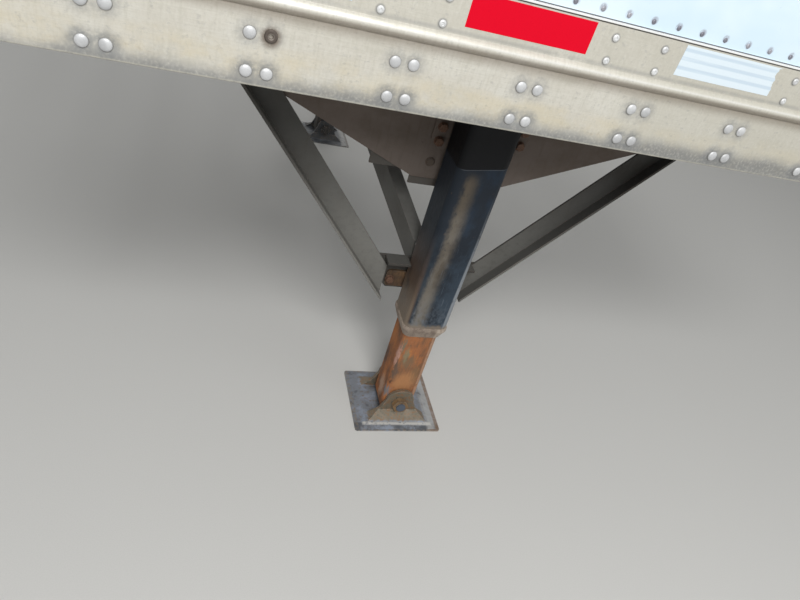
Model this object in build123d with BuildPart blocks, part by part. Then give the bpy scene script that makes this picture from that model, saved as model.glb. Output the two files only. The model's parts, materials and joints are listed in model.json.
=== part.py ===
from build123d import *
import math
import os

# Landing gear of a semi trailer with the stretch of frame that carries it.
# X runs along the trailer with +X to its front, Y runs across it with the near side at -Y,
# and Z = 0 is the top of the floor crossmembers, where the floor boards would lie.
# Lengths are in millimetres, angles in degrees.

os.makedirs("parts", exist_ok=True)

# Body and floor frame
body_width = 2590.0
cross_pitch = 228.6
cross_behind = 4
cross_ahead = 5
cross_height = 101.6
cross_flange_width = 57.0
cross_flange_t = 4.5
cross_web_t = 3.5
end_plate_width = 64.0
end_plate_height = 80.0
end_plate_t = 4.0
rail_overhang = 76.0

# Side rail extrusion, levels counted from the top of the crossmembers
rail_bottom = -102.5
rail_top = 112.0
rail_wall = 5.0
rail_foot_depth = 8.0
rail_foot_height = 7.0
rail_foot_slope = 4.0
rail_edge_radius = 2.0
bead_level = 25.5
bead_half_height = 12.0
bead_stand = 7.0
ledge_depth = 38.0
ledge_t = 4.0
ledge_gap = 1.0
lip_groove_level = 107.6
lip_groove_height = 2.0
lip_groove_depth = 1.5

# Side wall above the rail
wall_top = 300.0
sheet_t = 2.0
sheet_bottom = 40.0
post_pitch = 406.4
post_first = 171.0
post_behind = 2
post_ahead = 2
post_flange_width = 26.0
post_crown_width = 76.0
post_depth = 28.0
post_t = 2.5

# Legs
leg_x = 94.5
leg_inset = 301.0
outer_size = 127.0
outer_wall = 6.35
outer_corner = 22.0
outer_bottom = -791.5
leg_top = -112.0
cap_t = 6.0
cap_margin = 3.0
collar_height = 8.0
collar_margin = 3.5
collar_taper = 30.0
collar_foot_wall = 3.2
guide_gap = 0.5
slide_play = 6.35
inner_wall = 6.35
inner_corner = 16.0
inner_length = 650.0
ground = -1144.5
leg_end_height = 30.0

# Leg mounting flange, wing plate and the angles behind it
flange_t = 8.0
flange_rear = 102.0
flange_front = 150.0
flange_bottom = -312.0
flange_bevel = 25.0
plate_t = 6.35
wing_bottom = -395.0
wing_bottom_half = 122.0
wing_half_length = 640.0
wing_end_level = -168.0
wing_corner_radius = 8.0
angle_leg = 51.0
angle_t = 6.35
wing_angle_half_length = 600.0
backup_top = -313.0
backup_bottom = -379.0
backup_rear = 235.0
backup_front = 150.0
backup_step = 124.0
backup_foot = -418.0
hole_clearance = 2.0

# Fore and aft braces
rear_brace_angle = 51.2
rear_brace_reach = 462.4
front_brace_angle = 49.4
front_brace_reach = 474.8
brace_inner_level = -241.5
brace_web = 63.5
brace_flange = 38.1
brace_t = 6.35
brace_foot_offset = 118.0
brace_head_gap = 3.0

# Bracket that joins the braces behind the leg, and the lug plate welded to the leg
bracket_half_width = 150.0
bracket_top = -638.0
bracket_bottom = -745.0
bracket_t = 6.35
bracket_corner = 45.0
tab_outer = 128.0
tab_depth = 42.0
lug_half_width = 112.0
lug_top = -684.0
lug_bottom = -736.0
lug_corner = 12.0

# Inboard braces that rise to the middle of the trailer
inboard_foot_x = 36.0
inboard_foot_level = -588.0
inboard_head_level = -128.0
inboard_web = 80.0
inboard_flange = 38.0
inboard_t = 6.35
inboard_overshoot = 0.2
gusset_cross_index = -1
gusset_width = 170.0
gusset_height = 150.0
gusset_t = 12.0
gusset_corner = 30.0

# Cross shaft, gearbox and crank
shaft_level = -186.0
shaft_radius = 15.0
sleeve_radius = 21.0
sleeve_length = 85.0
sleeve_bore_depth = 55.0
shaft_gap = 0.3
gearbox_width = 150.0
gearbox_depth = 80.0
gearbox_height = 156.0
gearbox_corner = 14.0
gearbox_lid_t = 8.0
gearbox_lid_margin = 8.0
crank_level = -215.0
crank_radius = 12.7
crank_boss_radius = 24.0
crank_boss_length = 14.0
crank_bore_depth = 30.0
crank_arm = 300.0
crank_bar_radius = 9.0
crank_hub_radius = 20.0
crank_hub_length = 26.0
crank_rail_gap = 7.0
crank_bend = 32.0
grip_length = 130.0
grip_radius = 13.0
grip_bar_end = 6.0
hanger_half_width = 45.0
hanger_t = 6.0
hanger_inset = 62.0
hanger_eye_radius = 32.0
hanger_top_height = 36.0
hanger_overlap = 14.0

# Foot axle and sand shoe
axle_height = 62.0
axle_radius = 14.0
axle_nut_radius = 25.0
axle_nut_t = 16.0
axle_stub = 5.0
ear_gap = 5.2
ear_t = 10.0
ear_foot_half = 93.0
ear_foot_reach = 95.0
ear_knee_half = 60.0
ear_knee_height = 34.0
ear_shoulder_height = 68.0
ear_radius = 44.0
shoe_length = 270.0
shoe_width = 248.0
shoe_corner = 8.0
shoe_flange_t = 4.0
pan_end_margin = 11.0
pan_side_margin = 5.0
pan_slope = 24.0
pan_height = 10.0

# Levels and places that follow from the sizes above
rail_face = body_width / 2
rail_inside = rail_face - rail_wall
stretch_rear = -cross_behind * cross_pitch - rail_overhang
stretch_front = cross_ahead * cross_pitch + rail_overhang
stretch_length = stretch_front - stretch_rear
cross_places = [index * cross_pitch for index in range(-cross_behind, cross_ahead + 1)]
post_places = [post_first + index * post_pitch for index in range(-post_behind, post_ahead + 1)]
leg_y = rail_face - leg_inset
inner_size = outer_size - 2 * (outer_wall + slide_play)
bore_size = inner_size + 2 * guide_gap
collar_foot_size = bore_size + 2 * collar_foot_wall
tube_back = leg_y - outer_size / 2
tube_face = leg_y + outer_size / 2
plate_face = tube_back - flange_t
plate_back = plate_face - plate_t
inner_bottom = ground + leg_end_height
axle_level = ground + axle_height
gearbox_face = tube_face + gearbox_depth + gearbox_lid_t
crank_plane = rail_face + bead_stand + crank_rail_gap + crank_bar_radius

pieces = []


def keep(builder, label):
    builder.part.label = label
    pieces.append(builder.part)


def mirrored(near_part, label):
    with BuildPart() as far:
        mirror(near_part, about=Plane.XZ)
    keep(far, label)


# Side rail: one extrusion with a foot, a rub bead, a lip and a ledge for the floor boards
with BuildPart() as side_rail:
    with BuildSketch(Plane.YZ.offset(stretch_rear)) as rail_section:
        with BuildLine():
            Polyline(
                (-rail_face, bead_level - bead_half_height),
                (-rail_face, rail_bottom),
                (-rail_face + rail_foot_depth, rail_bottom),
                (-rail_face + rail_foot_depth, rail_bottom + rail_foot_height),
                (-rail_inside, rail_bottom + rail_foot_height + rail_foot_slope),
                (-rail_inside, -ledge_t),
                (-rail_inside + ledge_depth, -ledge_t),
                (-rail_inside + ledge_depth, 0),
                (-rail_inside, 0),
                (-rail_inside, rail_top),
                (-rail_face, rail_top),
                (-rail_face, bead_level + bead_half_height),
            )
            ThreePointArc(
                (-rail_face, bead_level + bead_half_height),
                (-rail_face - bead_stand, bead_level),
                (-rail_face, bead_level - bead_half_height),
            )
        make_face()
        with Locations((-rail_face, lip_groove_level)):
            Rectangle(2 * lip_groove_depth, lip_groove_height, mode=Mode.SUBTRACT)
        foot_corners = rail_section.vertices().group_by(Axis.Y)[0]
        fillet(foot_corners, rail_edge_radius)
    extrude(amount=stretch_length)
keep(side_rail, "near_side_rail")
mirrored(side_rail.part, "far_side_rail")

# Wall sheet behind the upper band of the rail, and the hat posts that stand against it
with BuildPart() as wall_panel:
    with BuildSketch(Plane.YZ.offset(stretch_rear)):
        with Locations((-rail_inside + sheet_t / 2, (wall_top + sheet_bottom) / 2)):
            Rectangle(sheet_t, wall_top - sheet_bottom)
    extrude(amount=stretch_length)
keep(wall_panel, "near_wall_panel")
mirrored(wall_panel.part, "far_wall_panel")

post_face = -rail_inside + sheet_t
with BuildPart() as wall_posts:
    with BuildSketch(Plane.XY):
        with Locations(*[(place, post_face + post_depth / 2) for place in post_places]):
            Rectangle(post_crown_width, post_depth)
        with Locations(*[(place, post_face + (post_depth - post_t) / 2) for place in post_places]):
            Rectangle(post_crown_width - 2 * post_t, post_depth - post_t, mode=Mode.SUBTRACT)
        for side in (-1, 1):
            flange_offset = side * (post_crown_width + post_flange_width) / 2
            with Locations(*[(place + flange_offset, post_face + post_t / 2) for place in post_places]):
                Rectangle(post_flange_width, post_t)
    extrude(amount=wall_top)
keep(wall_posts, "near_wall_posts")
mirrored(wall_posts.part, "far_wall_posts")

# Floor crossmembers, each an I beam with a plate at both ends that is riveted to the rail,
# and with its top flange coped where the rail's ledge lies flush with it
cope_start = rail_inside - ledge_depth - ledge_gap
with BuildPart() as crossmembers:
    with BuildSketch(Plane.XZ):
        with Locations(*[(place, -cross_height / 2) for place in cross_places]):
            Rectangle(cross_flange_width, cross_height)
            Rectangle(cross_flange_width, cross_height - 2 * cross_flange_t, mode=Mode.SUBTRACT)
            Rectangle(cross_web_t, cross_height)
    extrude(amount=rail_inside - end_plate_t, both=True)
    for side in (-1, 1):
        with BuildSketch(Plane.XZ.offset(side * (rail_inside - end_plate_t))):
            with Locations(*[(place, -cross_height / 2) for place in cross_places]):
                Rectangle(end_plate_width, end_plate_height)
        extrude(amount=side * end_plate_t)
        with BuildSketch(Plane.XY):
            with Locations(*[(place, side * (cope_start + rail_inside) / 2) for place in cross_places]):
                Rectangle(end_plate_width, rail_inside - cope_start)
        extrude(amount=-cross_flange_t, mode=Mode.SUBTRACT)
keep(crossmembers, "crossmembers")

# Wing plate: an inverted trapezoid under the crossmembers, behind the leg
with BuildPart() as wing_plate:
    with BuildSketch(Plane.XZ.offset(plate_back)) as wing_outline:
        with BuildLine():
            Polyline(
                (leg_x - wing_half_length, -cross_height),
                (leg_x + wing_half_length, -cross_height),
                (leg_x + wing_half_length, wing_end_level),
                (leg_x + wing_bottom_half, wing_bottom),
                (leg_x - wing_bottom_half, wing_bottom),
                (leg_x - wing_half_length, wing_end_level),
                close=True,
            )
        make_face()
        fillet(wing_outline.vertices().group_by(Axis.Y)[0], wing_corner_radius)
        with Locations((leg_x, shaft_level)):
            Circle(sleeve_radius + hole_clearance, mode=Mode.SUBTRACT)
    extrude(amount=plate_t)
keep(wing_plate, "near_wing_plate")
mirrored(wing_plate.part, "far_wing_plate")

# Angle that ties the wing plate to the crossmembers, and the one behind the leg's bolts
with BuildPart() as wing_angle:
    with BuildSketch(Plane.YZ.offset(leg_x - wing_angle_half_length)):
        with Locations((-plate_back, -cross_height)):
            Rectangle(angle_t, angle_leg, align=(Align.MIN, Align.MAX))
            Rectangle(angle_leg, angle_t, align=(Align.MIN, Align.MAX))
    extrude(amount=2 * wing_angle_half_length)
keep(wing_angle, "near_wing_angle")
mirrored(wing_angle.part, "far_wing_angle")

with BuildPart() as backup_angle:
    with BuildSketch(Plane.XZ.offset(plate_back)):
        with BuildLine():
            Polyline(
                (leg_x - backup_rear, backup_top),
                (leg_x + backup_front, backup_top),
                (leg_x + backup_front, backup_bottom),
                (leg_x + backup_step, backup_bottom),
                (leg_x + backup_step, backup_foot),
                (leg_x - backup_step, backup_foot),
                (leg_x - backup_step, backup_bottom),
                (leg_x - backup_rear, backup_bottom),
                close=True,
            )
        make_face()
    extrude(amount=-angle_t)
    with BuildSketch(Plane.YZ.offset(leg_x - backup_rear)):
        with Locations((-plate_back, backup_top)):
            Rectangle(angle_leg, angle_t, align=(Align.MIN, Align.MAX))
    extrude(amount=backup_rear + backup_front)
keep(backup_angle, "near_backup_angle")
mirrored(backup_angle.part, "far_backup_angle")

# Mounting flange between the leg and the wing plate, with bevelled lower corners
with BuildPart() as leg_flange:
    with BuildSketch(Plane.XZ.offset(plate_face)) as flange_outline:
        with BuildLine():
            Polyline(
                (leg_x - flange_rear, leg_top),
                (leg_x + flange_front, leg_top),
                (leg_x + flange_front, flange_bottom),
                (leg_x - flange_rear, flange_bottom),
                close=True,
            )
        make_face()
        chamfer(flange_outline.vertices().group_by(Axis.Y)[0], flange_bevel)
        with Locations((leg_x, shaft_level)):
            Circle(sleeve_radius + hole_clearance, mode=Mode.SUBTRACT)
    extrude(amount=flange_t)
keep(leg_flange, "near_leg_flange")
mirrored(leg_flange.part, "far_leg_flange")

# Outer leg tube, its cap, and the collar at its foot that tapers in to guide the inner leg
with BuildPart() as outer_leg:
    with BuildSketch(Plane.XY.offset(outer_bottom + collar_height)):
        with Locations((leg_x, -leg_y)):
            RectangleRounded(outer_size, outer_size, outer_corner)
            RectangleRounded(
                outer_size - 2 * outer_wall,
                outer_size - 2 * outer_wall,
                outer_corner - outer_wall,
                mode=Mode.SUBTRACT,
            )
    extrude(amount=leg_top - outer_bottom - collar_height)
keep(outer_leg, "near_outer_leg")
mirrored(outer_leg.part, "far_outer_leg")

with BuildPart() as leg_cap:
    with BuildSketch(Plane.XY.offset(leg_top)):
        with Locations((leg_x, -leg_y)):
            RectangleRounded(
                outer_size + 2 * cap_margin, outer_size + 2 * cap_margin, outer_corner + cap_margin
            )
    extrude(amount=cap_t)
keep(leg_cap, "near_leg_cap")
mirrored(leg_cap.part, "far_leg_cap")

with BuildPart() as leg_collar:
    with BuildSketch(Plane.XY.offset(outer_bottom)):
        with Locations((leg_x, -leg_y)):
            RectangleRounded(
                outer_size + 2 * collar_margin,
                outer_size + 2 * collar_margin,
                outer_corner + collar_margin,
            )
            RectangleRounded(bore_size, bore_size, inner_corner + guide_gap, mode=Mode.SUBTRACT)
    extrude(amount=collar_height)
    for level, size, corner in (
        (outer_bottom, outer_size + 2 * collar_margin, outer_corner + collar_margin),
        (outer_bottom - collar_taper, collar_foot_size, inner_corner + guide_gap + collar_foot_wall),
    ):
        with BuildSketch(Plane.XY.offset(level)):
            with Locations((leg_x, -leg_y)):
                RectangleRounded(size, size, corner)
    loft()
    with BuildSketch(Plane.XY.offset(outer_bottom)):
        with Locations((leg_x, -leg_y)):
            RectangleRounded(bore_size, bore_size, inner_corner + guide_gap)
    extrude(amount=-collar_taper, mode=Mode.SUBTRACT)
keep(leg_collar, "near_leg_collar")
mirrored(leg_collar.part, "far_leg_collar")

# Fore and aft braces: angle sections from the foot of the leg out to the wing plate's ends
brace_head_level = -cross_height - brace_head_gap


def brace_corners(side, angle, reach, from_depth, to_depth):
    """Corners of the brace between two depths measured square to its inner edge."""
    slope = math.radians(angle)
    foot_level = brace_inner_level + (brace_foot_offset - reach) * math.tan(slope)
    head_offset = reach + (brace_head_level - brace_inner_level) / math.tan(slope)
    corners = [
        (brace_foot_offset, foot_level - from_depth / math.cos(slope)),
        (head_offset + from_depth / math.sin(slope), brace_head_level),
        (head_offset + to_depth / math.sin(slope), brace_head_level),
        (brace_foot_offset, foot_level - to_depth / math.cos(slope)),
    ]
    return [(leg_x + side * offset, level) for offset, level in corners]


for name, side, angle, reach in (
    ("rear", -1, rear_brace_angle, rear_brace_reach),
    ("front", 1, front_brace_angle, front_brace_reach),
):
    with BuildPart() as brace:
        with BuildSketch(Plane.XZ.offset(plate_face)):
            with BuildLine():
                Polyline(*brace_corners(side, angle, reach, 0, brace_web), close=True)
            make_face()
        extrude(amount=brace_t)
        with BuildSketch(Plane.XZ.offset(plate_face)):
            with BuildLine():
                Polyline(*brace_corners(side, angle, reach, brace_web - brace_t, brace_web), close=True)
            make_face()
        extrude(amount=brace_flange)
    keep(brace, f"near_{name}_brace")
    mirrored(brace.part, f"far_{name}_brace")

# Bracket behind the leg that takes both braces, with two tabs that reach to the tube's sides
with BuildPart() as brace_bracket:
    with BuildSketch(Plane.XZ.offset(plate_back)) as bracket_outline:
        with Locations((leg_x, (bracket_top + bracket_bottom) / 2)):
            Rectangle(2 * bracket_half_width, bracket_top - bracket_bottom)
        chamfer(bracket_outline.vertices().group_by(Axis.Y)[0], bracket_corner)
    extrude(amount=bracket_t)
    with BuildSketch(Plane.XZ.offset(plate_face)):
        for side in (-1, 1):
            tab_middle = leg_x + side * (tab_outer + outer_size / 2) / 2
            with Locations((tab_middle, bracket_top - bracket_t / 2)):
                Rectangle(tab_outer - outer_size / 2, bracket_t)
    extrude(amount=tab_depth)
keep(brace_bracket, "near_brace_bracket")
mirrored(brace_bracket.part, "far_brace_bracket")

with BuildPart() as leg_lug:
    with BuildSketch(Plane.XZ.offset(plate_face)):
        with Locations((leg_x, (lug_top + lug_bottom) / 2)):
            RectangleRounded(2 * lug_half_width, lug_top - lug_bottom, lug_corner)
    extrude(amount=flange_t)
keep(leg_lug, "near_leg_lug")
mirrored(leg_lug.part, "far_leg_lug")

# Inboard braces: angles from behind the bracket up to a gusset in the middle of the trailer
gusset_x = gusset_cross_index * cross_pitch
brace_foot = Vector(inboard_foot_x, -plate_back, inboard_foot_level)
brace_head = Vector(gusset_x, -gusset_t / 2, inboard_head_level)
brace_run = brace_head - brace_foot
with BuildPart() as inboard_brace:
    brace_start = brace_foot - brace_run * inboard_overshoot
    with BuildSketch(Plane(brace_start, x_dir=(1, 0, 0), z_dir=brace_run)):
        Rectangle(inboard_t, inboard_web, align=(Align.MIN, Align.MIN))
        Rectangle(inboard_flange, inboard_t, align=(Align.MIN, Align.MIN))
    extrude(amount=brace_run.length * (1 + 2 * inboard_overshoot))
    split(bisect_by=Plane.XZ.offset(plate_back), keep=Keep.BOTTOM)
    split(bisect_by=Plane.XZ.offset(gusset_t / 2), keep=Keep.TOP)
keep(inboard_brace, "near_inboard_brace")
mirrored(inboard_brace.part, "far_inboard_brace")

with BuildPart() as centre_gusset:
    with BuildSketch(Plane.XZ) as gusset_outline:
        with Locations((gusset_x, -cross_height)):
            Rectangle(gusset_width, gusset_height, align=(Align.CENTER, Align.MAX))
        chamfer(gusset_outline.vertices().group_by(Axis.Y)[0], gusset_corner)
    extrude(amount=gusset_t / 2, both=True)
keep(centre_gusset, "centre_gusset")

# Cross shaft between the legs, in a sleeve on each leg's output stub
shaft_end = tube_back - sleeve_length + sleeve_bore_depth
with BuildPart() as cross_shaft:
    with BuildSketch(Plane.XZ):
        with Locations((leg_x, shaft_level)):
            Circle(shaft_radius)
    extrude(amount=shaft_end - shaft_gap, both=True)
keep(cross_shaft, "cross_shaft")

with BuildPart() as shaft_sleeve:
    with BuildSketch(Plane.XZ.offset(tube_back - sleeve_length)):
        with Locations((leg_x, shaft_level)):
            Circle(sleeve_radius)
    extrude(amount=sleeve_length)
    with BuildSketch(Plane.XZ.offset(tube_back - sleeve_length)):
        with Locations((leg_x, shaft_level)):
            Circle(shaft_radius + shaft_gap)
    extrude(amount=sleeve_bore_depth, mode=Mode.SUBTRACT)
keep(shaft_sleeve, "near_shaft_sleeve")
mirrored(shaft_sleeve.part, "far_shaft_sleeve")

# Gearbox on the far leg, with its lid and the boss that the crank's shaft runs in
with BuildPart() as gearbox:
    with BuildSketch(Plane.XZ.offset(-tube_face)):
        with Locations((leg_x, crank_level)):
            RectangleRounded(gearbox_width, gearbox_height, gearbox_corner)
    extrude(amount=-gearbox_depth)
    with BuildSketch(Plane.XZ.offset(-tube_face - gearbox_depth)):
        with Locations((leg_x, crank_level)):
            RectangleRounded(
                gearbox_width + 2 * gearbox_lid_margin,
                gearbox_height + 2 * gearbox_lid_margin,
                gearbox_corner + gearbox_lid_margin,
            )
    extrude(amount=-gearbox_lid_t)
    with BuildSketch(Plane.XZ.offset(-gearbox_face)):
        with Locations((leg_x, crank_level)):
            Circle(crank_boss_radius)
    extrude(amount=-crank_boss_length)
    with BuildSketch(Plane.XZ.offset(-gearbox_face - crank_boss_length)):
        with Locations((leg_x, crank_level)):
            Circle(crank_radius + shaft_gap)
    extrude(amount=crank_bore_depth, mode=Mode.SUBTRACT)
keep(gearbox, "gearbox")

# Hanger that holds the crank's shaft near the far rail, bolted under two crossmembers
hanger_y = rail_face - hanger_inset
hanger_rear = -hanger_overlap
hanger_front = cross_pitch + hanger_overlap
with BuildPart() as crank_hanger:
    with BuildSketch(Plane.XZ.offset(-hanger_y)):
        with BuildLine():
            Polyline(
                (hanger_rear, -cross_height),
                (hanger_front, -cross_height),
                (hanger_front, -cross_height - hanger_top_height),
                (leg_x + hanger_half_width, -cross_height - hanger_top_height),
                (leg_x + hanger_eye_radius, crank_level),
                (leg_x - hanger_eye_radius, crank_level),
                (leg_x - hanger_half_width, -cross_height - hanger_top_height),
                (hanger_rear, -cross_height - hanger_top_height),
                close=True,
            )
        make_face()
        with Locations((leg_x, crank_level)):
            Circle(hanger_eye_radius)
            Circle(crank_radius + shaft_gap, mode=Mode.SUBTRACT)
    extrude(amount=-hanger_t)
keep(crank_hanger, "crank_hanger")

# Crank: the shaft from the gearbox, and the bent handle that hangs from its end
hub_start = crank_plane - crank_hub_length / 2
shaft_start = gearbox_face + crank_boss_length - crank_bore_depth + shaft_gap
with BuildPart() as crank_shaft:
    with BuildSketch(Plane.XZ.offset(-shaft_start)):
        with Locations((leg_x, crank_level)):
            Circle(crank_radius)
    extrude(amount=-(hub_start - shaft_start))
keep(crank_shaft, "crank_shaft")

arm_foot = crank_level - crank_arm
with BuildPart() as crank_handle:
    with BuildSketch(Plane.XZ.offset(-hub_start)):
        with Locations((leg_x, crank_level)):
            Circle(crank_hub_radius)
    extrude(amount=-crank_hub_length)
    with BuildLine() as handle_path:
        FilletPolyline(
            (leg_x, crank_plane, crank_level),
            (leg_x, crank_plane, arm_foot),
            (leg_x, crank_plane + grip_length, arm_foot),
            radius=crank_bend,
        )
    with BuildSketch(Plane(origin=(leg_x, crank_plane, crank_level), z_dir=(0, 0, -1))):
        Circle(crank_bar_radius)
    sweep(path=handle_path.line)
    with BuildSketch(Plane.XZ.offset(-(crank_plane + crank_bend + grip_bar_end))):
        with Locations((leg_x, arm_foot)):
            Circle(grip_radius)
    extrude(amount=-(grip_length - crank_bend - 2 * grip_bar_end))
keep(crank_handle, "crank_handle")

# Inner leg, and the axle through its foot
with BuildPart() as inner_leg:
    with BuildSketch(Plane.XY.offset(inner_bottom)):
        with Locations((leg_x, -leg_y)):
            RectangleRounded(inner_size, inner_size, inner_corner)
            RectangleRounded(
                inner_size - 2 * inner_wall,
                inner_size - 2 * inner_wall,
                inner_corner - inner_wall,
                mode=Mode.SUBTRACT,
            )
    extrude(amount=inner_length)
    with BuildSketch(Plane.XZ.offset(leg_y)):
        with Locations((leg_x, axle_level)):
            Circle(axle_radius + shaft_gap)
    extrude(amount=inner_size, both=True, mode=Mode.SUBTRACT)
keep(inner_leg, "near_inner_leg")
mirrored(inner_leg.part, "far_inner_leg")

ear_inside = inner_size / 2 + ear_gap
ear_outside = ear_inside + ear_t
axle_half = ear_outside + 2 * shaft_gap + axle_nut_t + axle_stub
with BuildPart() as foot_axle:
    with BuildSketch(Plane.XZ.offset(leg_y)):
        with Locations((leg_x, axle_level)):
            Circle(axle_radius)
    extrude(amount=axle_half, both=True)
    for side in (-1, 1):
        with BuildSketch(Plane.XZ.offset(leg_y + side * (ear_outside + 2 * shaft_gap))):
            with Locations((leg_x, axle_level)):
                RegularPolygon(axle_nut_radius, 6)
        extrude(amount=side * axle_nut_t)
keep(foot_axle, "near_foot_axle")
mirrored(foot_axle.part, "far_foot_axle")

# Sand shoe: a thin flange, a pan pressed up in its middle with sloping sides, and two ears
# that flare out at the foot
with BuildPart() as sand_shoe:
    with BuildSketch(Plane.XY.offset(ground)):
        with Locations((leg_x, -leg_y)):
            RectangleRounded(shoe_length, shoe_width, shoe_corner)
    extrude(amount=shoe_flange_t)
    for level, inset in ((shoe_flange_t, 0), (pan_height, pan_slope)):
        with BuildSketch(Plane.XY.offset(ground + level)):
            with Locations((leg_x, -leg_y)):
                Rectangle(
                    shoe_length - 2 * (pan_end_margin + inset),
                    shoe_width - 2 * (pan_side_margin + inset),
                )
    loft()
    for side in (-1, 1):
        for level, half, reach in (
            (pan_height, ear_foot_half, ear_foot_reach),
            (ear_knee_height, ear_knee_half, ear_outside),
        ):
            with BuildSketch(Plane.XY.offset(ground + level)):
                with Locations((leg_x, -leg_y + side * (ear_inside + reach) / 2)):
                    Rectangle(2 * half, reach - ear_inside)
        loft()
        with BuildSketch(Plane.XZ.offset(leg_y + side * ear_inside)):
            with BuildLine():
                Polyline(
                    (leg_x - ear_knee_half, ground + pan_height),
                    (leg_x + ear_knee_half, ground + pan_height),
                    (leg_x + ear_knee_half, ground + ear_knee_height),
                    (leg_x + ear_radius, ground + ear_shoulder_height),
                    (leg_x - ear_radius, ground + ear_shoulder_height),
                    (leg_x - ear_knee_half, ground + ear_knee_height),
                    close=True,
                )
            make_face()
            with Locations((leg_x, ground + ear_shoulder_height)):
                Circle(ear_radius)
            with Locations((leg_x, axle_level)):
                Circle(axle_radius + shaft_gap, mode=Mode.SUBTRACT)
        extrude(amount=side * ear_t)
keep(sand_shoe, "near_sand_shoe")
mirrored(sand_shoe.part, "far_sand_shoe")

for piece in pieces:
    export_step(piece, f"parts/{piece.label}.step")
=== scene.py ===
import json
import math
import random

import bpy
from mathutils import Matrix, Vector


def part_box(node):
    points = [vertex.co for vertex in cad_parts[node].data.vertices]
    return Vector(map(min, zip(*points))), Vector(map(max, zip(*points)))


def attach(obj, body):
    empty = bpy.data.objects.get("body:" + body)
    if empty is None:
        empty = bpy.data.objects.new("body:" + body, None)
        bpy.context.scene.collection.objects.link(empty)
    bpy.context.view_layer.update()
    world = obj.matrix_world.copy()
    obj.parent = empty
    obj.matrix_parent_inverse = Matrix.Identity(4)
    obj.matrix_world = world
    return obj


# Landing gear of a semi trailer under a stretch of its side rails. Blender's unit is the metre;
# the numbers below are millimetres.
random.seed(11)
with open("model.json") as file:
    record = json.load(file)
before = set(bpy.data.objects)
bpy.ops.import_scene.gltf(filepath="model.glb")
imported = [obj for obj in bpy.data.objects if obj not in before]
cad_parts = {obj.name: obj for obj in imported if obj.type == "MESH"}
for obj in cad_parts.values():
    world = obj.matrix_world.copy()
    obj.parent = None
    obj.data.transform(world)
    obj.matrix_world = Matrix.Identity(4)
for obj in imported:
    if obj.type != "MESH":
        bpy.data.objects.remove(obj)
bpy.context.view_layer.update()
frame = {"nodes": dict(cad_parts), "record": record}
nodes = frame["nodes"]
sides = {"near": -1, "far": 1}
mm = 0.001
print("frame loaded:", len(nodes), "nodes")


def boxOf(name):
    # a node's lowest and highest corner in millimetres
    return [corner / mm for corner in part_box(name)]


def colour(hexCode):
    # sRGB hex to the linear numbers that the shader works in
    parts = [int(hexCode[i : i + 2], 16) / 255 for i in (1, 3, 5)]
    return [c / 12.92 if c <= 0.04045 else ((c + 0.055) / 1.055) ** 2.4 for c in parts] + [1.0]


def put(owner, kind, settings=None, inputs=None):
    # one shader node for a finish or a node tree, with its settings, or only its operation, and
    # what feeds or fills its sockets, where a name stands for what the finish keeps under it
    tree = owner["tree"] if isinstance(owner, dict) else owner
    node = tree.nodes.new("ShaderNode" + kind)
    settings = {"operation": settings} if isinstance(settings, str) else settings or {}
    for name, value in settings.items():
        setattr(node, name, value)
    for key, value in (inputs or {}).items():
        value = owner[value] if isinstance(value, str) else value
        if isinstance(value, bpy.types.Node):
            value = next(out for out in value.outputs if out.enabled)
        if isinstance(value, bpy.types.NodeSocket):
            tree.links.new(value, node.inputs[key])
        else:
            node.inputs[key].default_value = value
    return node


# Finishes. A finish is a dictionary: its material, node tree and look, x, y and z in millimetres
# of the frame, so that every pattern keeps its real size, and what is made from them.
# A pattern is noise from 0 to 1: the width of its patches along x, y and z, octaves, offset.


def startFinish(name, look):
    material = bpy.data.materials.new(name)
    material.use_nodes = True
    material.node_tree.nodes.clear()
    finish = {"material": material, "tree": material.node_tree, "look": look}
    inputs = {0: put(finish, "TexCoord").outputs["Object"], "Scale": 1 / mm}
    finish["place"] = put(finish, "VectorMath", "SCALE", inputs)
    finish.update(zip("xyz", put(finish, "SeparateXYZ", {}, {0: "place"}).outputs))
    for word, (*size, octaves, offset) in look["patterns"].items():
        squeezed = put(finish, "VectorMath", "DIVIDE", {0: "place", 1: size})
        moved = put(finish, "VectorMath", "ADD", {0: squeezed, 1: [offset] * 3})
        inputs = {"Vector": moved, "Scale": 1.0, "Detail": octaves, "Roughness": 0.6}
        finish[word] = put(finish, "TexNoise", {}, inputs)
    return finish


def mask(finish, *parts):
    # the product of its parts: a number, a name in the finish, or a ramp. (name, low, high) rises
    # smoothly from 0 at low to 1 at high, and falls if low is the larger; (name, low, high, soft)
    # is 1 from low to high and fades over a soft width at both ends
    product = None
    for part in parts:
        if isinstance(part, tuple):
            word, low, high, *soft = part
            if soft:
                fade = soft[0]
                rise, fall = (low - fade, low + fade), (high + fade, high - fade)
                part = mask(finish, (word, *rise), (word, *fall))
            else:
                falls = low > high
                inputs = {"Value": word, "From Min": min(low, high), "From Max": max(low, high)}
                inputs.update({"To Min": float(falls), "To Max": float(not falls)})
                part = put(finish, "MapRange", {"interpolation_type": "SMOOTHSTEP"}, inputs)
        inputs = {0: product, 1: part}
        product = part if product is None else put(finish, "Math", "MULTIPLY", inputs)
    return product


def shifted(finish, value, *shifts):
    # a number or a named value, moved by each (name, amount): by the amount times how far that
    # one is from 0.5, or from another zero that stands third
    for word, amount, *zero in shifts:
        offset = put(finish, "Math", "SUBTRACT", {0: word, 1: zero[0] if zero else 0.5})
        value = put(finish, "Math", "MULTIPLY_ADD", {0: offset, 1: amount, 2: value})
    return value


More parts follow.
